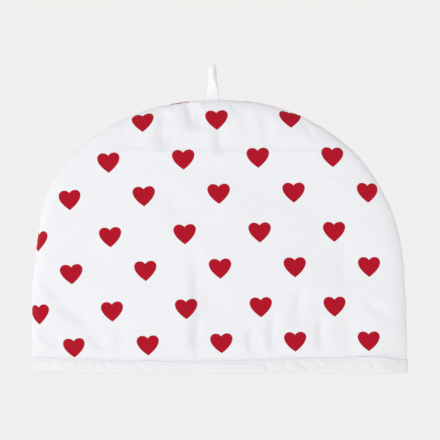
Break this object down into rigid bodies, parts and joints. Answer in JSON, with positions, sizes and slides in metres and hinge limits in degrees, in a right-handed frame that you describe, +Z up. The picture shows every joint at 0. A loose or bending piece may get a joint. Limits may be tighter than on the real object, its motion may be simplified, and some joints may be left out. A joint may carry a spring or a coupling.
{
  "type": "tea cosy",
  "caption": "Padded dome-shaped cotton tea cosy with a printed heart pattern, a bound hem and a hanging loop, open below to fit over a teapot",
  "frame": {"origin": "on the surface the cosy stands on, under the middle of its box", "axes": "+Z up, +X along the width seen from the front, -Y out of the front panel"},
  "size_m": [0.352, 0.0827, 0.2881],
  "materials": {
    "printed_cotton": "matt plain-weave cotton over wadding, white with red printed hearts",
    "binding_cotton": "matt white cotton strip, puckered by its stitching",
    "loop_tape": "matt white cotton tape"
  },
  "bodies": {
    "root": {"front_panel": "printed_cotton", "back_panel": "printed_cotton", "hem_binding": "binding_cotton", "hanging_loop": "loop_tape"}
  },
  "joints": []
}
